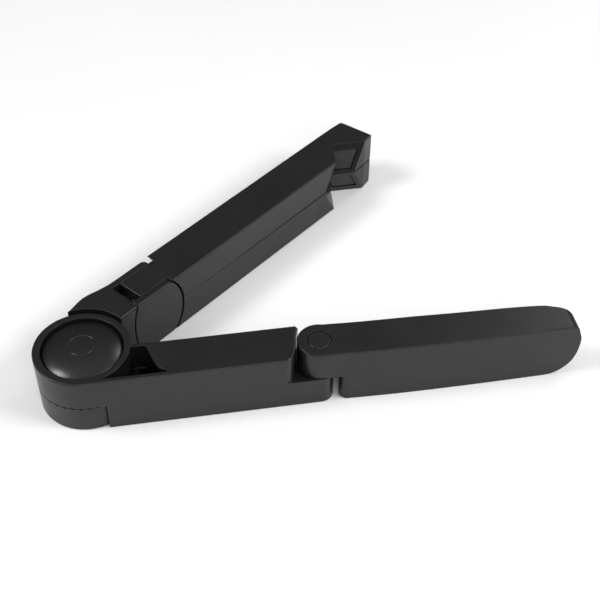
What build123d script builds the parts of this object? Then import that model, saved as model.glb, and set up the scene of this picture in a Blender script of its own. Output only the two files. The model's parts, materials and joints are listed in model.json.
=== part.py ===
from build123d import *
import math
import os

os.makedirs("parts", exist_ok=True)

# ------------------------------------------------------------------
# Folding easel stand, lying on its side.  Millimetres, +Z up.
# Origin: hub axis at the resting surface.  Leg runs along +X, the pair
# of support arms runs at THETA to it.
# ------------------------------------------------------------------
HUB_R = 17.0            # hub radius
H_LEG = 23.4            # height of leg and extension
H_ARM = 24.7            # height of arm block and the stacked arms
PART_Z = H_ARM / 2      # parting plane between the two arms
LUG_TOP = 11.1          # lower lug of the hub (part of the arm block)
RING_BOT = 11.2         # leg ring starts here
TOOTH = 0.75            # depth of the saw-shaped face teeth
N_TEETH = 36
WALL = 1.6

THETA = 40.0            # arms to leg, as stored
OPEN = 28.0             # each arm opens by this much

LEG_NEAR = -17.0        # leg faces
LEG_FAR = -0.95

PIN_X, PIN_Y = 80.8, -8.97   # extension hinge pin
LEG_LUG_R = 8.03
LUG_CORNER = 4.6         # corner radius of the leg lug
EXT_LUG_R = 7.72
LAP_Z = 11.7            # lap between leg lug and extension lug
EXT_BACK = 8.25         # lower end face of the extension from the pin
PIN_HEAD_R = 4.05

AX_S = 29.5             # arm hinge axis (along n) at s, z
CHEEK_R = 17.7
FAR_CHEEK_R = 18.7
SHOULDER_R = 18.35       # concave shoulder of the arms round the near cheek
N_NEAR, N_FAR = -0.6, 16.1
CH_IN0, CH_IN1 = 2.1, 12.8   # inner faces of the two cheeks
AXLE_R = 2.5
KNUCKLE_R = 8.0
RUN = 0.05              # radial running clearance

BUTTON_R = 13.9
RING_BORE = 14.35
PRESS = 1.5             # travel of the button

CT = math.cos(math.radians(THETA))
ST = math.sin(math.radians(THETA))


def arm_plan(z):
    """plan plane with local x = along the arms (s), local y = across (n)"""
    return Plane(origin=(0, 0, z), x_dir=(CT, ST, 0), z_dir=(0, 0, 1))


def arm_side(n):
    """side plane at n with local x = s, local y = z; extrude(-t) goes to n + t"""
    return Plane(origin=(-ST * n, CT * n, 0), x_dir=(CT, ST, 0), z_dir=(ST, -CT, 0))


def polar(r, a):
    return (r * math.cos(math.radians(a)), r * math.sin(math.radians(a)))


# ------------------------------------------------------------------
# hub block: lower hub lug, arm block and far cheek in one moulding
# ------------------------------------------------------------------
# envelope of the block: everything left of the arm axle, and a rounded drum about it
with BuildPart() as cheek_form:
    with BuildSketch(Plane(origin=(AX_S * CT, AX_S * ST, PART_Z), x_dir=(CT, ST, 0), z_dir=(0, 0, 1))):
        with BuildLine():
            Polyline((0, -3), (FAR_CHEEK_R, -3), (FAR_CHEEK_R, 13.5))
            ThreePointArc((FAR_CHEEK_R, 13.5), (FAR_CHEEK_R - 0.6, 14.95), (FAR_CHEEK_R - 2.0, 15.55))
            Polyline((FAR_CHEEK_R - 2.0, 15.55), (0, 15.55), (0, -3))
        make_face()
    revolve(axis=Axis((AX_S * CT, AX_S * ST, PART_Z), (-ST, CT, 0)))
    with BuildSketch(arm_side(-3)):
        with Locations((AX_S - 20, PART_Z)):
            Rectangle(40, 40)
    extrude(amount=-24)

with BuildPart() as hub_block:
    with BuildSketch(arm_plan(0)):
        with BuildLine():
            Polyline((3.0, 9.0), (10.0, N_NEAR), (50.0, N_NEAR), (50.0, 15.5), (29.0, 15.5))
            Spline((29.0, 15.5), (25.5, 15.7), (21.5, 16.35), (16.6, 17.2), (12.8, 16.9),
                   (9.7, 16.2), (6.2, 15.85), tangents=((-1, 0), (-1, -0.05)))
            Line((6.2, 15.85), (3.0, 9.0))
        make_face()
    extrude(amount=H_ARM)
    fillet(hub_block.edges().group_by(Axis.Z)[-1], radius=0.5)
    # D-shaped end of the far cheek with a rounded outer edge
    add(cheek_form.part, mode=Mode.INTERSECT)
    # space between the cheeks for the knuckles and the swinging root plates
    with BuildSketch(arm_side(CH_IN0)):
        with Locations((AX_S, PART_Z)):
            Circle(12.85)
            Polygon((0, 0), polar(40, 125), polar(60, 180), polar(40, 235),
                    align=None, mode=Mode.SUBTRACT)
            Circle(9.0)
        with Locations((AX_S + 15, PART_Z)):
            Rectangle(30, 40)
    extrude(amount=-(CH_IN1 - CH_IN0), mode=Mode.SUBTRACT)
    # seat of the near cheek and its rabbet
    with BuildSketch(arm_side(-2)):
        with Locations((55.0, PART_Z)):
            Circle(32.05)
    extrude(amount=-(CH_IN0 + 2), mode=Mode.SUBTRACT)
    with BuildSketch(arm_side(0.9)):
        with Locations((55.0, PART_Z)):
            Circle(34.0)
    extrude(amount=-(CH_IN0 - 0.9), mode=Mode.SUBTRACT)
    # clearance for the leg ring
    with BuildSketch(Plane.XY.offset(LUG_TOP)):
        Circle(17.65)
    extrude(amount=30, mode=Mode.SUBTRACT)
    # lower lug of the hub
    with BuildSketch():
        Circle(HUB_R)
    extrude(amount=LUG_TOP)
    fillet(hub_block.edges().filter_by(GeomType.CIRCLE).filter_by(
        lambda e: abs(e.radius - HUB_R) < 0.01 and e.center().Z < 0.1 and e.length > 40), radius=0.5)
    # face teeth round the lug's rim
    with BuildSketch(Plane.YZ.offset(13.6)):
        Polygon((-1.42, LUG_TOP + 0.01), (1.42, LUG_TOP + 0.01), (1.30, LUG_TOP - TOOTH), align=None)
    tooth = extrude(amount=4.5, mode=Mode.PRIVATE)
    with PolarLocations(0, N_TEETH):
        add(tooth, mode=Mode.SUBTRACT)
    # bearing post for the leg
    with BuildSketch(Plane.XY.offset(LUG_TOP - 1)):
        Circle(6.0)
    extrude(amount=14.0 - LUG_TOP + 1)
    # screw hole, blind, from above
    with BuildSketch(Plane.XY.offset(14.0)):
        Circle(2.0)
    extrude(amount=-9.5, mode=Mode.SUBTRACT)
    # axle bore and head recess in the far cheek
    with BuildSketch(arm_side(12.0)):
        with Locations((AX_S, PART_Z)):
            Circle(AXLE_R)
    extrude(amount=-6, mode=Mode.SUBTRACT)
    with BuildSketch(arm_side(14.2)):
        with Locations((AX_S, PART_Z)):
            Circle(4.6)
    extrude(amount=-4, mode=Mode.SUBTRACT)
hub_block.part.label = "hub_block"
export_step(hub_block.part, "parts/hub_block.step")

# near cheek: separate plate with a curved edge and a tongue
with BuildPart() as near_cheek:
    with BuildSketch(arm_side(N_NEAR)):
        with Locations((AX_S, PART_Z)):
            Circle(CHEEK_R)
            Rectangle(60, H_ARM, mode=Mode.INTERSECT)
        with Locations((55.0, PART_Z)):
            Circle(31.6, mode=Mode.INTERSECT)
    extrude(amount=-(CH_IN0 - N_NEAR))
    # rounded upper and lower corners at the arm side
    fillet(near_cheek.edges().filter_by(lambda e: abs(e.length - (CH_IN0 - N_NEAR)) < 0.01).filter_by(
        lambda e: e.center().X * CT + e.center().Y * ST > AX_S + 8), radius=2.5)
    fillet(near_cheek.faces().sort_by(lambda f: f.center().Y * CT - f.center().X * ST)[0].edges(), radius=0.45)
    with BuildSketch(arm_side(1.0)):
        with Locations((AX_S - 3, PART_Z)):
            Circle(CHEEK_R)
            Rectangle(60, H_ARM - 0.6, mode=Mode.INTERSECT)
        with Locations((55.0, PART_Z)):
            Circle(33.8, mode=Mode.INTERSECT)
        with Locations((10 + 16, PART_Z)):
            Rectangle(20, 40, mode=Mode.INTERSECT)
    extrude(amount=-(CH_IN0 - 1.0))
    # hexagon pocket for the axle nut and end of the axle bore
    with BuildSketch(arm_side(0.55)):
        with Locations((AX_S, PART_Z)):
            RegularPolygon(4.1, 6)
    extrude(amount=-3, mode=Mode.SUBTRACT)
near_cheek.part.label = "near_cheek"
export_step(near_cheek.part, "parts/near_cheek.step")

# arm axle: headed pin, driven from the far side
with BuildPart() as arm_axle:
    with BuildSketch(arm_side(0.6)):
        with Locations((AX_S, PART_Z)):
            Circle(AXLE_R)
    extrude(amount=-(14.2 - 0.6))
    with BuildSketch(arm_side(14.2)):
        with Locations((AX_S, PART_Z)):
            Circle(4.5)
    extrude(amount=-1.2)
    with BuildSketch(arm_side(14.5)):
        with Locations((AX_S, PART_Z)):
            RegularPolygon(1.9, 6)
    extrude(amount=-3, mode=Mode.SUBTRACT)
arm_axle.part.label = "arm_axle"
export_step(arm_axle.part, "parts/arm_axle.step")

with BuildPart() as axle_nut:
    with BuildSketch(arm_side(0.55)):
        with Locations((AX_S, PART_Z)):
            RegularPolygon(4.0, 6)
            Circle(AXLE_R, mode=Mode.SUBTRACT)
    extrude(amount=-1.5)
axle_nut.part.label = "axle_nut"
export_step(axle_nut.part, "parts/axle_nut.step")

# three friction washers on the arm axle
with BuildPart() as axle_washers:
    for n0 in (CH_IN0, 7.2, CH_IN1 - 0.5):
        with BuildSketch(arm_side(n0)):
            with Locations((AX_S, PART_Z)):
                Circle(6.5)
                Circle(AXLE_R, mode=Mode.SUBTRACT)
        extrude(amount=-0.5)
axle_washers.part.label = "axle_washers"
export_step(axle_washers.part, "parts/axle_washers.step")

# hub screw and washer that hold the leg on its post
with BuildPart() as hub_washer:
    with BuildSketch(Plane.XY.offset(14.0)):
        Circle(8.6)
        Circle(2.5, mode=Mode.SUBTRACT)
    extrude(amount=0.8)
hub_washer.part.label = "hub_washer"
export_step(hub_washer.part, "parts/hub_washer.step")

with BuildPart() as hub_screw:
    with BuildSketch(Plane.XY.offset(5.0)):
        Circle(2.0)
    extrude(amount=9.8)
    with BuildSketch(Plane.XY.offset(14.8)):
        Circle(4.0)
    extrude(amount=2.2)
    fillet(hub_screw.edges().group_by(Axis.Z)[-1], radius=0.8)
    with BuildSketch(Plane.XY.offset(17.0)):
        Rectangle(4.2, 0.9)
        Rectangle(0.9, 4.2)
    extrude(amount=-1.3, mode=Mode.SUBTRACT)
hub_screw.part.label = "hub_screw"
export_step(hub_screw.part, "parts/hub_screw.step")

# ------------------------------------------------------------------
# leg
# ------------------------------------------------------------------
with BuildPart() as leg_shell:
    # upper level: ring and body down to the slanted end
    with BuildSketch(Plane.XY.offset(RING_BOT)):
        Circle(HUB_R)
        with BuildLine():
            Polyline((0, -17.0), (67.4, -17.0))
            ThreePointArc((67.4, -17.0), (69.9, -16.2), (71.3, -14.0))
            Spline((71.3, -14.0), (72.4, -10.5), (72.85, -8.0), (74.45, -2.2))
            Polyline((74.45, -2.2), (73.7, LEG_FAR), (0, LEG_FAR), (0, -17.0))
        make_face()
    extrude(amount=H_LEG - RING_BOT)
    fillet(leg_shell.edges().group_by(Axis.Z)[-1], radius=0.45)
    # lower level: body wrapped round the lug, round lug at the pin
    with BuildSketch():
        with Locations((6.4, LEG_NEAR)):
            Rectangle(PIN_X + 0.1 - 6.4, LEG_FAR - LEG_NEAR, align=(Align.MIN, Align.MIN))
        with Locations((PIN_X + 0.1, (LEG_NEAR + LEG_FAR) / 2)):
            Rectangle(LUG_CORNER, 2 * (LEG_LUG_R - LUG_CORNER) - 0.02, align=(Align.MIN, Align.CENTER))
        with Locations((PIN_X + 0.1, (LEG_NEAR + LEG_FAR) / 2 + LEG_LUG_R - LUG_CORNER - 0.01),
                       (PIN_X + 0.1, (LEG_NEAR + LEG_FAR) / 2 - LEG_LUG_R + LUG_CORNER + 0.01)):
            Circle(LUG_CORNER)
        Circle(17.35, mode=Mode.SUBTRACT)
    extrude(amount=LAP_Z - 0.1)
    # hollow body
    with BuildSketch(Plane.XY.offset(-1)):
        with Locations((8.0, LEG_NEAR + WALL)):
            Rectangle(68.4 - 8.0, LEG_FAR - LEG_NEAR - 2 * WALL, align=(Align.MIN, Align.MIN))
        Circle(18.9, mode=Mode.SUBTRACT)
    extrude(amount=H_LEG - WALL + 1, mode=Mode.SUBTRACT)
    # opening in the top beside the ring
    with BuildSketch(Plane.XY.offset(12.4)):
        with BuildLine():
            Polyline((6.0, -15.4), (27.4, -15.4))
            ThreePointArc((27.4, -15.4), (27.95, -15.1), (27.6, -14.6))
            Spline((27.6, -14.6), (25.6, -13.2), (24.2, -10.7), (23.3, -8.1), (22.6, -5.6), (21.9, -3.4), (20.4, -2.2),
                   tangents=((-1, 0.45), (-1, 0.25)))
            Polyline((20.4, -2.2), (12.0, -2.2), (6.0, -15.4))
        make_face()
        Circle(16.4, mode=Mode.SUBTRACT)
    extrude(amount=12, mode=Mode.SUBTRACT)
    # cup of the ring: wide below a retaining lip, bore for the post
    with BuildSketch(Plane.XY.offset(13.8)):
        Circle(15.5)
    extrude(amount=20.2 - 13.8, mode=Mode.SUBTRACT)
    with BuildSketch(Plane.XY.offset(20.0)):
        Circle(RING_BORE)
    extrude(amount=6, mode=Mode.SUBTRACT)
    with BuildSketch(Plane.XY.offset(10)):
        Circle(6.0 + RUN)
    extrude(amount=6, mode=Mode.SUBTRACT)
    # screw bosses for the bottom plate
    with BuildSketch(Plane.XY.offset(1.6)):
        with Locations((31.0, -8.97), (47.0, -8.97), (65.0, -8.97)):
            Circle(3.0)
    extrude(amount=H_LEG - WALL - 1.6 + 0.2)
    with BuildSketch(Plane.XY.offset(1.6)):
        with Locations((31.0, -8.97), (47.0, -8.97), (65.0, -8.97)):
            Circle(1.2)
    extrude(amount=9, mode=Mode.SUBTRACT)
    # pin hole through the lower lug with a screw recess underneath
    with BuildSketch():
        with Locations((PIN_X, PIN_Y)):
            Circle(3.0)
    extrude(amount=LAP_Z, mode=Mode.SUBTRACT)
    with BuildSketch():
        with Locations((PIN_X, PIN_Y)):
            Circle(4.2)
    extrude(amount=2.4, mode=Mode.SUBTRACT)
leg_shell.part.label = "leg_shell"
export_step(leg_shell.part, "parts/leg_shell.step")

with BuildPart() as leg_bottom_plate:
    with BuildSketch():
        with Locations((8.0, LEG_NEAR + WALL + 0.1)):
            Rectangle(68.3 - 8.0, LEG_FAR - LEG_NEAR - 2 * WALL - 0.2, align=(Align.MIN, Align.MIN))
        Circle(19.0, mode=Mode.SUBTRACT)
        with Locations((31.0, -8.97), (47.0, -8.97), (65.0, -8.97)):
            Circle(1.35, mode=Mode.SUBTRACT)
    extrude(amount=1.6)
    with BuildSketch():
        with Locations((31.0, -8.97), (47.0, -8.97), (65.0, -8.97)):
            Circle(2.5)
    extrude(amount=0.9, mode=Mode.SUBTRACT)
leg_bottom_plate.part.label = "leg_bottom_plate"
export_step(leg_bottom_plate.part, "parts/leg_bottom_plate.step")

with BuildPart() as leg_screws:
    with BuildSketch(Plane.XY.offset(0.1)):
        with Locations((31.0, -8.97), (47.0, -8.97), (65.0, -8.97)):
            Circle(2.4)
    extrude(amount=0.8)
    with BuildSketch(Plane.XY.offset(0.9)):
        with Locations((31.0, -8.97), (47.0, -8.97), (65.0, -8.97)):
            Circle(1.2)
    extrude(amount=7.0)
    with BuildSketch(Plane.XY.offset(0.1)):
        with Locations((31.0, -8.97), (47.0, -8.97), (65.0, -8.97)):
            Rectangle(2.4, 0.6)
            Rectangle(0.6, 2.4)
    extrude(amount=0.5, mode=Mode.SUBTRACT)
leg_screws.part.label = "leg_screws"
export_step(leg_screws.part, "parts/leg_screws.step")

# hub button: domed cap with a skirt and a retaining flange
with BuildPart() as hub_button:
    dome_r, dome_c = 53.72, -29.02

    with BuildSketch(Plane.XZ):
        with BuildLine():
            z48, z45 = dome_c + math.sqrt(dome_r ** 2 - 4.8 ** 2), dome_c + math.sqrt(dome_r ** 2 - 4.5 ** 2)
            Line((0, 22.9), (0, 24.7))
            ThreePointArc((0, 24.7), (2.25, dome_c + math.sqrt(dome_r ** 2 - 2.25 ** 2)), (4.5, z45))
            Polyline((4.5, z45), (4.5, z45 - 0.2), (4.8, z45 - 0.2), (4.8, z48))
            Spline((4.8, z48), (8.0, 24.06), (10.4, 23.5), (12.1, 22.92), (13.2, 22.38), (BUTTON_R, 21.75),
                   tangents=((1, -0.09), (0.5, -1)))
            Polyline((BUTTON_R, 21.75), (BUTTON_R, 20.1), (15.2, 20.1), (15.2, 18.9),
                     (12.6, 18.9), (12.6, 21.4), (10.5, 21.9), (0, 22.9))
        make_face()
    revolve(axis=Axis.Z)
hub_button.part.label = "hub_button"
export_step(hub_button.part, "parts/hub_button.step")

# compression spring under the button
with BuildPart() as hub_spring:
    with BuildLine():
        Helix(pitch=2.35, height=6.35, radius=11.0, center=(0, 0, 14.5))
    with BuildSketch(Plane(origin=(11.0, 0, 14.5), z_dir=(0, 1, 0.034))):
        Circle(0.55)
    sweep(is_frenet=True)
hub_spring.part.label = "hub_spring"
export_step(hub_spring.part, "parts/hub_spring.step")

# ------------------------------------------------------------------
# extension pin, its screw and washer
# ------------------------------------------------------------------
with BuildPart() as extension_pin:
    with BuildSketch(Plane.XY.offset(2.4)):
        with Locations((PIN_X, PIN_Y)):
            Circle(3.0)
    extrude(amount=21.4 - 2.4)
    with BuildSketch(Plane.XY.offset(21.4)):
        with Locations((PIN_X, PIN_Y)):
            Circle(PIN_HEAD_R)
    extrude(amount=H_LEG - 21.4)
    fillet(extension_pin.edges().group_by(Axis.Z)[-1], radius=0.3)
    with BuildSketch(Plane.XY.offset(2.4)):
        with Locations((PIN_X, PIN_Y)):
            Circle(1.5)
    extrude(amount=7, mode=Mode.SUBTRACT)
extension_pin.part.label = "extension_pin"
export_step(extension_pin.part, "parts/extension_pin.step")

with BuildPart() as extension_pin_screw:
    with BuildSketch(Plane.XY.offset(0.3)):
        with Locations((PIN_X, PIN_Y)):
            Circle(4.1)
    extrude(amount=2.1)
    with BuildSketch(Plane.XY.offset(2.4)):
        with Locations((PIN_X, PIN_Y)):
            Circle(1.5)
    extrude(amount=6.5)
    with BuildSketch(Plane.XY.offset(0.3)):
        with Locations((PIN_X, PIN_Y)):
            Rectangle(4.0, 0.8)
            Rectangle(0.8, 4.0)
    extrude(amount=1.1, mode=Mode.SUBTRACT)
extension_pin_screw.part.label = "extension_pin_screw"
export_step(extension_pin_screw.part, "parts/extension_pin_screw.step")

with BuildPart() as extension_washer:
    with BuildSketch(Plane.XY.offset(LAP_Z - 0.1)):
        with Locations((PIN_X, PIN_Y)):
            Circle(6.0)
            Circle(3.0, mode=Mode.SUBTRACT)
    extrude(amount=0.5)
extension_washer.part.label = "extension_washer"
export_step(extension_washer.part, "parts/extension_washer.step")

# ------------------------------------------------------------------
# extension: lug over the leg, hollow body, rounded tip
# ------------------------------------------------------------------
with BuildPart() as extension_shell:
    with BuildSketch():
        with BuildLine():
            Spline((PIN_X, PIN_Y - EXT_LUG_R), (100.0, -17.2), (120.0, -17.5), (150.0, -17.3), (168.0, -17.0),
                   tangents=((1, 0), (1, 0.02)))
            Polyline((168.0, -17.0), (174.2, -16.9), (174.1, -15.6))
            Spline((174.1, -15.6), (173.4, -12.0), (171.5, -8.8), (168.9, -6.7), (165.2, -5.3), (161.7, -4.5),
                   tangents=((-0.04, 1), (-1, 0.1)))
            Spline((161.7, -4.5), (134.4, -3.35), (112.8, -2.6), (91.0, -2.0), (83.2, -1.63),
                   tangents=((-1, 0.1), (-1, 0.02)))
            ThreePointArc((83.2, -1.63), (PIN_X + 1.3, -1.36), (PIN_X, PIN_Y + EXT_LUG_R))
            ThreePointArc((PIN_X, PIN_Y + EXT_LUG_R), (PIN_X - EXT_LUG_R, PIN_Y), (PIN_X, PIN_Y - EXT_LUG_R))
        make_face()
    extrude(amount=H_LEG)
    fillet(extension_shell.edges().group_by(Axis.Z)[-1], radius=0.45)
    # lower level starts clear of the leg lug
    with BuildSketch(Plane.XY.offset(-1)):
        with BuildLine():
            # hollowed round the pin between two blunt noses, rounded outside
            nx, ny = EXT_BACK * math.cos(math.radians(38)), EXT_BACK * math.sin(math.radians(38))
            Polyline((60, -30), (91.0, -30), (91.0, -17.124))
            ThreePointArc((91.0, -17.124), (88.596, -16.256), (PIN_X + nx, PIN_Y - ny))
            ThreePointArc((PIN_X + nx, PIN_Y - ny), (PIN_X + EXT_BACK, PIN_Y), (PIN_X + nx, PIN_Y + ny))
            ThreePointArc((PIN_X + nx, PIN_Y + ny), (88.684, -2.473), (90.6, -1.95))
            Polyline((90.6, -1.95), (90.6, 10), (60, 10), (60, -30))
        make_face()
    extrude(amount=LAP_Z + 0.1 + 1, mode=Mode.SUBTRACT)
    # side profile of the tip
    with BuildSketch(Plane.XZ.offset(-5)):
        with BuildLine():
            Polyline((60, 0), (162.0, 0))
            Spline((162.0, 0), (168.5, 1.9), (171.7, 5.2), (173.35, 9.4), (173.95, 14.2), (173.7, 17.8), (172.6, 21.1),
                   (169.8, H_LEG), tangents=((1, 0), (-1, 0.3)))
            Polyline((169.8, H_LEG), (60, H_LEG), (60, 0))
        make_face()
    extrude(amount=30, mode=Mode.INTERSECT)
    # hollow
    with BuildSketch(Plane.XY.offset(-1)):
        with BuildLine():
            Polyline((92.0, -15.4), (92.0, -3.9), (112.8, -4.5), (134.4, -5.2), (156.3, -6.0), (160.0, -7.0),
                     (160.0, -15.4), (92.0, -15.4))
        make_face()
    extrude(amount=H_LEG - WALL + 1, mode=Mode.SUBTRACT)
    # pin bore and head counterbore
    with BuildSketch(Plane.XY.offset(10)):
        with Locations((PIN_X, PIN_Y)):
            Circle(3.0 + RUN)
    extrude(amount=15, mode=Mode.SUBTRACT)
    with BuildSketch(Plane.XY.offset(21.3)):
        with Locations((PIN_X, PIN_Y)):
            Circle(PIN_HEAD_R + 0.25)
    extrude(amount=5, mode=Mode.SUBTRACT)
    # washer recess
    with BuildSketch(Plane.XY.offset(LAP_Z)):
        with Locations((PIN_X, PIN_Y)):
            Circle(6.3)
    extrude(amount=0.45, mode=Mode.SUBTRACT)
    # screw bosses
    with BuildSketch(Plane.XY.offset(1.6)):
        with Locations((98.0, -9.6), (126.0, -9.9), (154.0, -10.4)):
            Circle(3.0)
            Circle(1.2, mode=Mode.SUBTRACT)
    extrude(amount=H_LEG - WALL - 1.6 + 0.2)
extension_shell.part.label = "extension_shell"
export_step(extension_shell.part, "parts/extension_shell.step")

with BuildPart() as extension_bottom_plate:
    with BuildSketch():
        with BuildLine():
            Polyline((92.1, -15.3), (92.1, -4.0), (112.8, -4.6), (134.4, -5.3), (156.3, -6.1), (159.9, -7.08),
                     (159.9, -15.3), (92.1, -15.3))
        make_face()
        with Locations((98.0, -9.6), (126.0, -9.9), (154.0, -10.4)):
            Circle(1.35, mode=Mode.SUBTRACT)
    extrude(amount=1.6)
    with BuildSketch():
        with Locations((98.0, -9.6), (126.0, -9.9), (154.0, -10.4)):
            Circle(2.5)
    extrude(amount=0.9, mode=Mode.SUBTRACT)
extension_bottom_plate.part.label = "extension_bottom_plate"
export_step(extension_bottom_plate.part, "parts/extension_bottom_plate.step")

with BuildPart() as extension_screws:
    with BuildSketch(Plane.XY.offset(0.1)):
        with Locations((98.0, -9.6), (126.0, -9.9), (154.0, -10.4)):
            Circle(2.4)
    extrude(amount=0.8)
    with BuildSketch(Plane.XY.offset(0.9)):
        with Locations((98.0, -9.6), (126.0, -9.9), (154.0, -10.4)):
            Circle(1.2)
    extrude(amount=7.0)
    with BuildSketch(Plane.XY.offset(0.1)):
        with Locations((98.0, -9.6), (126.0, -9.9), (154.0, -10.4)):
            Rectangle(2.4, 0.6)
            Rectangle(0.6, 2.4)
    extrude(amount=0.5, mode=Mode.SUBTRACT)
extension_screws.part.label = "extension_screws"
export_step(extension_screws.part, "parts/extension_screws.step")

# ------------------------------------------------------------------
# the two support arms: mirror images about the parting plane, except
# that their knuckles sit side by side on the axle
# ------------------------------------------------------------------
T28 = math.tan(math.radians(OPEN))
GAP = 0.15              # half of the gap at the parting plane
screw_spots = [(58.0, 7.75), (88.0, 7.75), (118.0, 7.75)]

for arm, sg, kn0, kn1 in (("upper", 1, 2.65, 7.15), ("lower", -1, 7.75, 12.25)):
    z_out = PART_Z + sg * PART_Z              # outer face
    z_in = PART_Z + sg * GAP                  # inner face
    h = PART_Z - GAP
    skew = (-math.sin(math.radians(OPEN)) * CT, -math.sin(math.radians(OPEN)) * ST,
            -sg * math.cos(math.radians(OPEN)))

    with BuildPart() as arm_shell:
        with BuildSketch(arm_plan(z_in)):
            with BuildLine():
                Polyline((29.6, N_NEAR), (155.4, N_NEAR), (160.8, 0.3), (159.55, 14.3))
                ThreePointArc((159.55, 14.3), (159.15, 15.3), (158.2, 15.8))
                Polyline((158.2, 15.8), (153.0, N_FAR), (29.6, N_FAR), (29.6, N_NEAR))
            make_face()
        extrude(amount=sg * h)
        fillet(arm_shell.faces().sort_by(Axis.Z)[-1 if sg > 0 else 0].edges(), radius=0.5)
        chamfer(arm_shell.faces().sort_by(Axis.Z)[0 if sg > 0 else -1].edges(), length=0.25)
        # shoulders round the cheeks
        with BuildSketch(arm_side(-2)):
            with Locations((AX_S, PART_Z)):
                Circle(SHOULDER_R)
        extrude(amount=-(CH_IN0 + 0.15 + 2), mode=Mode.SUBTRACT)
        with BuildSketch(arm_side(CH_IN1 - 0.15)):
            with Locations((AX_S, PART_Z)):
                Circle(20.6)
        extrude(amount=-6, mode=Mode.SUBTRACT)
        # root: only the outer plate stays between the cheeks
        with BuildSketch(arm_side(CH_IN0 + 0.1)):
            with Locations((37.0, PART_Z + sg * (PART_Z - 2.2 - 8.0))):
                Rectangle(18.0, 16.0)
        extrude(amount=-(CH_IN1 - CH_IN0 - 0.2), mode=Mode.SUBTRACT)
        # own knuckle and web
        with BuildSketch(arm_side(kn0)):
            with Locations((AX_S, PART_Z)):
                Circle(KNUCKLE_R)
            with Locations((AX_S + 9.5, PART_Z + sg * (GAP + 5.2))):
                Rectangle(19.0, 10.4)
            with Locations((AX_S, PART_Z)):
                Circle(AXLE_R + RUN, mode=Mode.SUBTRACT)
        extrude(amount=-(kn1 - kn0))
        # V notch that takes the lower edge of what stands on the easel
        with BuildSketch(arm_plan(z_out + sg * 1.0)):
            o = T28 * 1.0
            Polygon((132.0 + o, -5.0), (136.2 + o, -0.6), (144.6 + o, 8.2), (155.8 + o, -0.9), (160.84 + o, -5.0),
                    align=None)
        extrude(amount=(h + 2.0) / math.cos(math.radians(OPEN)), dir=skew, mode=Mode.SUBTRACT)
        # hollow
        with BuildSketch(arm_plan(z_in - sg * 0.5)):
            with BuildLine():
                Polyline((50.5, 1.2), (124.0, 1.2), (124.0, 14.3), (53.0, 14.3), (50.5, 1.2))
            make_face()
        extrude(amount=sg * (h - 1.8 + 0.5), mode=Mode.SUBTRACT)
        # screw bosses
        with BuildSketch(arm_plan(z_in + sg * 1.6)):
            with Locations(*screw_spots):
                Circle(2.8)
                Circle(1.2, mode=Mode.SUBTRACT)
        extrude(amount=sg * (h - 1.8 - 1.6 + 0.2))
        # shallow seat for the rubber pad on the hook wall
        ux, uy = (155.8 - 144.6) / 14.431, (-0.9 - 8.2) / 14.431
        vx, vy = -uy, ux      # into the hook material
        zp = z_out - sg * 2.6
        o = -T28 * 2.6
        q = [(144.6 + o + ux * 1.35, 8.2 + uy * 1.35), (144.6 + o + ux * 12.05, 8.2 + uy * 12.05)]
        with BuildSketch(arm_plan(zp)):
            Polygon((q[0][0] - vx, q[0][1] - vy), (q[1][0] - vx, q[1][1] - vy),
                    (q[1][0] + vx * 1.1, q[1][1] + vy * 1.1), (q[0][0] + vx * 1.1, q[0][1] + vy * 1.1), align=None)
        extrude(amount=8.4 / math.cos(math.radians(OPEN)), dir=skew, mode=Mode.SUBTRACT)
    arm_shell.part.label = arm + "_arm_shell"
    export_step(arm_shell.part, "parts/" + arm + "_arm_shell.step")

    with BuildPart() as hook_pad:
        zp2 = zp - sg * 0.4
        o2 = o - T28 * 0.4
        q = [(144.6 + o2 + ux * 1.75, 8.2 + uy * 1.75), (144.6 + o2 + ux * 11.65, 8.2 + uy * 11.65)]
        with BuildSketch(arm_plan(zp2)):
            Polygon((q[0][0] + vx * 0.4, q[0][1] + vy * 0.4), (q[1][0] + vx * 0.4, q[1][1] + vy * 0.4),
                    (q[1][0] + vx * 1.1, q[1][1] + vy * 1.1), (q[0][0] + vx * 1.1, q[0][1] + vy * 1.1), align=None)
        extrude(amount=7.6 / math.cos(math.radians(OPEN)), dir=skew)
    hook_pad.part.label = arm + "_hook_pad"
    export_step(hook_pad.part, "parts/" + arm + "_hook_pad.step")

    with BuildPart() as inner_cover:
        with BuildSketch(arm_plan(z_in)):
            with BuildLine():
                Polyline((50.65, 1.3), (123.9, 1.3), (123.9, 14.2), (53.1, 14.2), (50.65, 1.3))
            make_face()
            with Locations(*screw_spots):
                Circle(1.35, mode=Mode.SUBTRACT)
        extrude(amount=sg * 1.6)
        with BuildSketch(arm_plan(z_in)):
            with Locations(*screw_spots):
                Circle(2.5)
        extrude(amount=sg * 0.9, mode=Mode.SUBTRACT)
    inner_cover.part.label = arm + "_arm_cover"
    export_step(inner_cover.part, "parts/" + arm + "_arm_cover.step")

    with BuildPart() as arm_screws:
        with BuildSketch(arm_plan(z_in + sg * 0.1)):
            with Locations(*screw_spots):
                Circle(2.4)
        extrude(amount=sg * 0.8)
        with BuildSketch(arm_plan(z_in + sg * 0.9)):
            with Locations(*screw_spots):
                Circle(1.2)
        extrude(amount=sg * 5.0)
        with BuildSketch(arm_plan(z_in + sg * 0.1)):
            with Locations(*screw_spots):
                Rectangle(2.4, 0.6)
                Rectangle(0.6, 2.4)
        extrude(amount=sg * 0.5, mode=Mode.SUBTRACT)
    arm_screws.part.label = arm + "_arm_screws"
    export_step(arm_screws.part, "parts/" + arm + "_arm_screws.step")
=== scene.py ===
import json
import math
import bpy
import bmesh
from mathutils import Matrix, Vector

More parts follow.
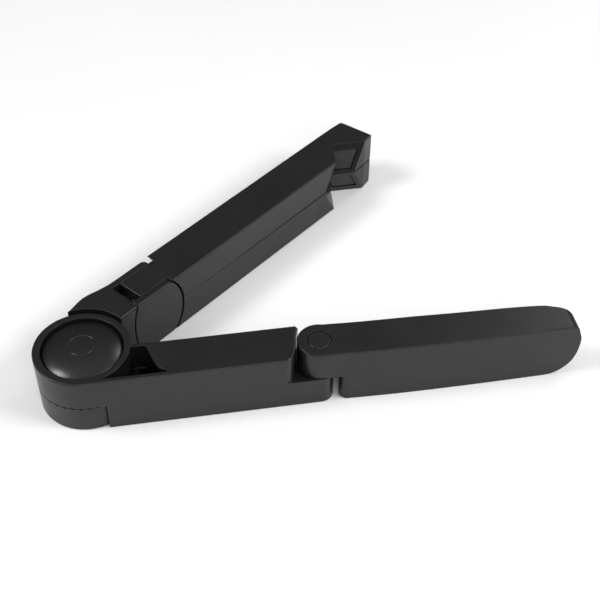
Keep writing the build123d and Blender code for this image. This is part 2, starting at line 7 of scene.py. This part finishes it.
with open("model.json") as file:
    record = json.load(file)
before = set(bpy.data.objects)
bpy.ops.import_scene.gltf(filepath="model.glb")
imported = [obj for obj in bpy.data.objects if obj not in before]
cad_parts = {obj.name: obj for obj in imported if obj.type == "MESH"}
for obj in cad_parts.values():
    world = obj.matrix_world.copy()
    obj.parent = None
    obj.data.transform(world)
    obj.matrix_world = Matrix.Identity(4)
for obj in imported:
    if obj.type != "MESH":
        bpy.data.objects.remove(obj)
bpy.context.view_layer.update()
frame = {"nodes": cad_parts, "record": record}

MM = 0.001
TH = math.radians(40.0)
CT, ST = math.cos(TH), math.sin(TH)


def arm_pt(s, n, z):
    """arm coordinates in millimetres to the shared frame in metres"""
    return Vector(((s * CT - n * ST) * MM, (s * ST + n * CT) * MM, z * MM))


# ------------------------------------------------------------------ camera
def add_camera():
    a, e, roll = math.radians(-9.68), math.radians(44.33), math.radians(0.5)
    fwd = Vector((-math.sin(a) * math.cos(e), math.cos(a) * math.cos(e), -math.sin(e)))
    right = Vector((math.cos(a), math.sin(a), 0.0))
    up = right.cross(fwd)
    r2 = math.cos(roll) * right + math.sin(roll) * up
    u2 = -math.sin(roll) * right + math.cos(roll) * up
    data = bpy.data.cameras.new("camera")
    data.sensor_width = 36.0
    data.lens = 66.68
    data.clip_start = 0.01
    data.clip_end = 20.0
    cam = bpy.data.objects.new("camera", data)
    bpy.context.scene.collection.objects.link(cam)
    m = Matrix.Identity(4)
    for i in range(3):
        m[i][0], m[i][1], m[i][2] = r2[i], u2[i], -fwd[i]
    m[0][3], m[1][3], m[2][3] = 0.0297, -0.2687, 0.3010
    cam.matrix_world = m
    bpy.context.scene.camera = cam


add_camera()


# ------------------------------------------------------------------ materials
def node_tree(name):
    mat = bpy.data.materials.new(name)
    mat.use_nodes = True
    nt = mat.node_tree
    nt.nodes.clear()
    out = nt.nodes.new("ShaderNodeOutputMaterial")
    bsdf = nt.nodes.new("ShaderNodeBsdfPrincipled")
    nt.links.new(bsdf.outputs["BSDF"], out.inputs["Surface"])
    return mat, nt, bsdf


def noise(nt, coord, scale, detail=3.0, rough=0.55, stretch=None):
    n = nt.nodes.new("ShaderNodeTexNoise")
    n.inputs["Scale"].default_value = scale
    n.inputs["Detail"].default_value = detail
    n.inputs["Roughness"].default_value = rough
    src = coord
    if stretch is not None:
        mp = nt.nodes.new("ShaderNodeMapping")
        mp.inputs["Scale"].default_value = stretch
        nt.links.new(coord, mp.inputs["Vector"])
        src = mp.outputs["Vector"]
    nt.links.new(src, n.inputs["Vector"])
    return n.outputs["Fac"]


def ramp(nt, fac, stops):
    r = nt.nodes.new("ShaderNodeValToRGB")
    el = r.color_ramp.elements
    while len(el) < len(stops):
        el.new(0.5)
    for e, (p, c) in zip(el, stops):
        e.position = p
        e.color = (c[0], c[1], c[2], 1.0) if isinstance(c, (tuple, list)) else (c, c, c, 1.0)
    nt.links.new(fac, r.inputs["Fac"])
    return r.outputs["Color"]


def maprange(nt, fac, a0, a1, b0, b1):
    m = nt.nodes.new("ShaderNodeMapRange")
    m.inputs["From Min"].default_value = a0
    m.inputs["From Max"].default_value = a1
    m.inputs["To Min"].default_value = b0
    m.inputs["To Max"].default_value = b1
    nt.links.new(fac, m.inputs["Value"])
    return m.outputs["Result"]


def mix_color(nt, fac, a, b):
    m = nt.nodes.new("ShaderNodeMix")
    m.data_type = "RGBA"
    for sock, v in ((m.inputs[0], fac), (m.inputs[6], a), (m.inputs[7], b)):
        if hasattr(v, "links") or hasattr(v, "is_linked"):
            nt.links.new(v, sock)
        elif isinstance(v, (tuple, list)):
            sock.default_value = (v[0], v[1], v[2], 1.0)
        else:
            sock.default_value = v
    return m.outputs[2]


def plastic(name, low, high, r_low, r_high, spec=0.5, grain=1.0, grain_scale=2600.0, wear_and_highlight=(0.05, 0.05, 0.052),
            wear_and_highlight_amount=0.35, coat=0.0):
    """moulded black plastic: spark-eroded grain, cloudy tone, mild handling marks, and paler edges that are partly worn
    edges and partly a painted highlight along the edges
    """
    mat, nt, b = node_tree(name)
    tc = nt.nodes.new("ShaderNodeTexCoord").outputs["Object"]
    cloud = noise(nt, tc, 38.0, 4.0, 0.6)
    fine = noise(nt, tc, grain_scale, 2.0, 0.5)
    mid = noise(nt, tc, 420.0, 3.0, 0.6)
    base = ramp(nt, cloud, [(0.32, low), (0.68, high)])
    speck = ramp(nt, fine, [(0.40, (0.0, 0.0, 0.0)), (0.75, (1.0, 1.0, 1.0))])
    tone = mix_color(nt, maprange(nt, speck, 0.0, 1.0, 0.0, 0.22), base, tuple(min(1.0, h * 1.7) for h in high))
    geo = nt.nodes.new("ShaderNodeNewGeometry")
    bev = nt.nodes.new("ShaderNodeBevel")
    bev.samples = 6
    bev.inputs["Radius"].default_value = 0.00042
    dot = nt.nodes.new("ShaderNodeVectorMath"); dot.operation = "DOT_PRODUCT"
    nt.links.new(bev.outputs["Normal"], dot.inputs[0]); nt.links.new(geo.outputs["Normal"], dot.inputs[1])
    # edge mask from the bevel normal: rounded edges get a paler colour that is partly wear and partly a painted
    # highlight
    edge = ramp(nt, maprange(nt, dot.outputs["Value"], 0.99, 0.80, 0.0, 1.0), [(0.0, 0.0), (1.0, 1.0)])
    broken = ramp(nt, noise(nt, tc, 160.0, 4.0, 0.65), [(0.42, 0.25), (0.66, 1.0)])
    mul = nt.nodes.new("ShaderNodeMath"); mul.operation = "MULTIPLY"
    nt.links.new(edge, mul.inputs[0]); nt.links.new(broken, mul.inputs[1])
    mul2 = nt.nodes.new("ShaderNodeMath"); mul2.operation = "MULTIPLY"
    nt.links.new(mul.outputs[0], mul2.inputs[0]); mul2.inputs[1].default_value = wear_and_highlight_amount
    # paint the paler edge colour: partly worn edges, partly a painted edge highlight
    color = mix_color(nt, mul2.outputs[0], tone, wear_and_highlight)
    nt.links.new(color, b.inputs["Base Color"])
    rr = noise(nt, tc, 75.0, 5.0, 0.62, stretch=(1.0, 1.0, 0.6))
    rmix = nt.nodes.new("ShaderNodeMath"); rmix.operation = "ADD"
    nt.links.new(maprange(nt, rr, 0.3, 0.7, r_low, r_high), rmix.inputs[0])
    nt.links.new(maprange(nt, fine, 0.3, 0.7, -0.03, 0.03), rmix.inputs[1])
    nt.links.new(rmix.outputs[0], b.inputs["Roughness"])
    b.inputs["Specular IOR Level"].default_value = spec
    b.inputs["IOR"].default_value = 1.5
    if coat:
        b.inputs["Coat Weight"].default_value = coat
        b.inputs["Coat Roughness"].default_value = 0.25
    bump1 = nt.nodes.new("ShaderNodeBump")
    bump1.inputs["Strength"].default_value = 0.22 * grain
    bump1.inputs["Distance"].default_value = 0.00006
    nt.links.new(fine, bump1.inputs["Height"])
    nt.links.new(bev.outputs["Normal"], bump1.inputs["Normal"])
    bump2 = nt.nodes.new("ShaderNodeBump")
    bump2.inputs["Strength"].default_value = 0.05 * grain
    bump2.inputs["Distance"].default_value = 0.0002
    nt.links.new(mid, bump2.inputs["Height"])
    nt.links.new(bump1.outputs["Normal"], bump2.inputs["Normal"])
    nt.links.new(bump2.outputs["Normal"], b.inputs["Normal"])
    return mat


def metal(name, low, high, r_low, r_high, stretch=(1.0, 1.0, 14.0)):
    """plated steel with fine turning marks"""
    mat, nt, b = node_tree(name)
    tc = nt.nodes.new("ShaderNodeTexCoord").outputs["Object"]
    streak = noise(nt, tc, 900.0, 3.0, 0.6, stretch=stretch)
    cloud = noise(nt, tc, 120.0, 4.0, 0.6)
    nt.links.new(ramp(nt, cloud, [(0.3, low), (0.7, high)]), b.inputs["Base Color"])
    nt.links.new(maprange(nt, streak, 0.3, 0.7, r_low, r_high), b.inputs["Roughness"])
    b.inputs["Metallic"].default_value = 1.0
    bump = nt.nodes.new("ShaderNodeBump")
    bump.inputs["Strength"].default_value = 0.12
    bump.inputs["Distance"].default_value = 0.00005
    nt.links.new(streak, bump.inputs["Height"])
    nt.links.new(bump.outputs["Normal"], b.inputs["Normal"])
    return mat


def rubber(name):
    mat, nt, b = node_tree(name)
    tc = nt.nodes.new("ShaderNodeTexCoord").outputs["Object"]
    cloud = noise(nt, tc, 260.0, 4.0, 0.6)
    fine = noise(nt, tc, 4200.0, 2.0, 0.5)
    nt.links.new(ramp(nt, cloud, [(0.3, (0.012, 0.012, 0.012)), (0.72, (0.026, 0.026, 0.026))]), b.inputs["Base Color"])
    nt.links.new(maprange(nt, fine, 0.3, 0.7, 0.62, 0.82), b.inputs["Roughness"])
    b.inputs["Sheen Weight"].default_value = 0.15
    b.inputs["Sheen Roughness"].default_value = 0.5
    bump = nt.nodes.new("ShaderNodeBump")
    bump.inputs["Strength"].default_value = 0.35
    bump.inputs["Distance"].default_value = 0.00008
    nt.links.new(fine, bump.inputs["Height"])
    nt.links.new(bump.outputs["Normal"], b.inputs["Normal"])
    return mat


def nylon(name):
    mat, nt, b = node_tree(name)
    tc = nt.nodes.new("ShaderNodeTexCoord").outputs["Object"]
    cloud = noise(nt, tc, 200.0, 4.0, 0.6)
    fine = noise(nt, tc, 2600.0, 2.0, 0.5)
    nt.links.new(ramp(nt, cloud, [(0.3, (0.56, 0.55, 0.51)), (0.7, (0.68, 0.67, 0.63))]), b.inputs["Base Color"])
    nt.links.new(maprange(nt, fine, 0.3, 0.7, 0.38, 0.5), b.inputs["Roughness"])
    bump = nt.nodes.new("ShaderNodeBump")
    bump.inputs["Strength"].default_value = 0.1
    bump.inputs["Distance"].default_value = 0.00005
    nt.links.new(fine, bump.inputs["Height"])
    nt.links.new(bump.outputs["Normal"], b.inputs["Normal"])
    return mat


satin = plastic("satin_black", (0.0060, 0.0060, 0.0064), (0.0095, 0.0095, 0.0100), 0.29, 0.38, spec=0.42)
button = plastic("button_black", (0.0055, 0.0055, 0.0060), (0.0085, 0.0085, 0.0090), 0.26, 0.34, spec=0.5, grain=0.7)
cover = plastic("cover_black", (0.010, 0.010, 0.0105), (0.016, 0.016, 0.0165), 0.48, 0.60, spec=0.45, grain=1.4)
pad = rubber("pad_rubber")
steel = metal("steel", (0.52, 0.52, 0.53), (0.64, 0.64, 0.65), 0.24, 0.40)
wire = metal("spring_steel", (0.36, 0.36, 0.37), (0.48, 0.48, 0.49), 0.22, 0.36)
acetal = nylon("washer_nylon")
BY_SLOT = {"satin_black": satin, "button_black": button, "cover_black": cover, "pad_rubber": pad,
           "steel": steel, "spring_steel": wire, "washer_nylon": acetal}

slot_of = {p["node"]: p["material_slot"] for p in frame["record"]["subparts"]}
for name, obj in frame["nodes"].items():
    mat = BY_SLOT[slot_of[name]]
    if not obj.data.materials:
        obj.data.materials.append(mat)
    for i in range(len(obj.material_slots)):
        obj.material_slots[i].material = mat

# ------------------------------------------------------------------ stage
def add_floor():
    me = bpy.data.meshes.new("floor")
    bm = bmesh.new()
    n, size = 2, 1.8
    for x in (-size, size):
        for y in (-size, size):
            bm.verts.new((x + 0.08, y + 0.1, -0.00015))
    bm.verts.ensure_lookup_table()
    v = bm.verts
    bm.faces.new((v[0], v[2], v[3], v[1]))
    bm.to_mesh(me); bm.free()
    ob = bpy.data.objects.new("floor", me)
    bpy.context.scene.collection.objects.link(ob)
    mat, nt, b = node_tree("floor_paper")
    tc = nt.nodes.new("ShaderNodeTexCoord").outputs["Object"]
    nt.links.new(ramp(nt, noise(nt, tc, 6.0, 3.0, 0.5), [(0.3, (0.88, 0.88, 0.885)), (0.7, (0.91, 0.91, 0.91))]), b.inputs["Base Color"])
    b.inputs["Roughness"].default_value = 0.7
    b.inputs["Specular IOR Level"].default_value = 0.2
    me.materials.append(mat)


add_floor()


def area(name, loc, target, size, energy, size_y=None, color=(1, 1, 1)):
    d = bpy.data.lights.new(name, "AREA")
    d.energy = energy
    d.color = color
    d.shape = "RECTANGLE"
    d.size = size
    d.size_y = size_y or size
    ob = bpy.data.objects.new(name, d)
    bpy.context.scene.collection.objects.link(ob)
    ob.location = loc
    ob.rotation_euler = (Vector(target) - Vector(loc)).to_track_quat("-Z", "Y").to_euler()
    return ob


MID = (0.075, 0.03, 0.01)
area("right_box", (0.75, -0.30, 0.72), MID, 0.34, 5.4)
area("left_box", (-0.62, 0.02, 0.80), MID, 0.34, 5.4)
area("front_box", (0.05, -0.95, 0.75), MID, 0.8, 4.5, size_y=0.5)
area("back_right_box", (0.66, 0.52, 0.66), MID, 0.34, 1.4)

bpy.context.scene.view_settings.view_transform = "Standard"
bpy.context.scene.view_settings.look = "None"

world = bpy.data.worlds.new("world")
world.use_nodes = True
bg = world.node_tree.nodes["Background"]
wtc = world.node_tree.nodes.new("ShaderNodeTexCoord")
wsep = world.node_tree.nodes.new("ShaderNodeSeparateXYZ")
wramp = world.node_tree.nodes.new("ShaderNodeValToRGB")
world.node_tree.links.new(wtc.outputs["Generated"], wsep.inputs["Vector"])
world.node_tree.links.new(wsep.outputs["Z"], wramp.inputs["Fac"])
world.node_tree.links.new(wramp.outputs["Color"], bg.inputs["Color"])
for e, (p, v) in zip([wramp.color_ramp.elements[0], wramp.color_ramp.elements[1], wramp.color_ramp.elements.new(0.80)],
                     [(0.45, 0.16), (0.98, 1.0), (0.80, 0.49)]):
    e.position = p
    e.color = (v, v, v, 1.0)
bg.inputs["Strength"].default_value = 0.60
bpy.context.scene.world = world
